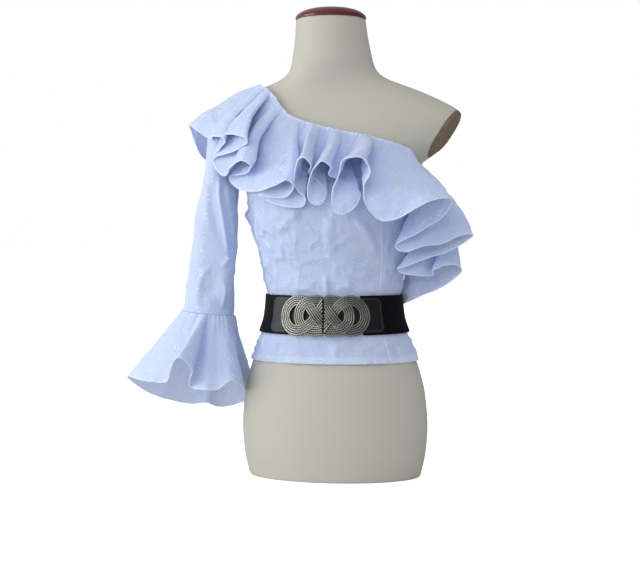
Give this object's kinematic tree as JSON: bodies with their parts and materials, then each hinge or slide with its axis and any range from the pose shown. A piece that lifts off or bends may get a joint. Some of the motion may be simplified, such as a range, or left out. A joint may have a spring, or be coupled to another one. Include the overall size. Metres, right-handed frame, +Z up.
{
  "type": "flamenco blouse on dress form",
  "caption": "One-shoulder white cotton blouse with a gathered neck flounce, one bell sleeve and an elastic buckle belt, on a limbless dress form.",
  "frame": {"origin": "on the floor, under the middle of the dress form's flat base", "axes": "+Z up along the form, -Y to the front of the blouse, +X towards the wearer's left"},
  "size_m": [0.6018, 0.3701, 0.7868],
  "materials": {
    "form": "smooth cream painted shell",
    "arm_plate": "plain brown board",
    "neck_cap": "dark red lacquer, glossy",
    "cotton": "white embroidered cotton, matte",
    "elastic": "black ribbed elastic",
    "leather": "black imitation leather, stitched edge",
    "buckle_metal": "antique silver, ribbed"
  },
  "bodies": {
    "root": {"form_torso": "form", "arm_plate_left": "arm_plate", "arm_plate_right": "arm_plate", "neck_cap": "neck_cap", "front_center": "cotton", "front_side_left": "cotton", "front_side_right": "cotton", "back_panel": "cotton", "frill_front": "cotton", "frill_back": "cotton", "sleeve_right": "cotton", "sleeve_bell": "cotton", "belt_band": "elastic", "belt_tab_left": "leather", "belt_tab_right": "leather", "buckle_left": "buckle_metal", "buckle_right": "buckle_metal"}
  },
  "joints": []
}
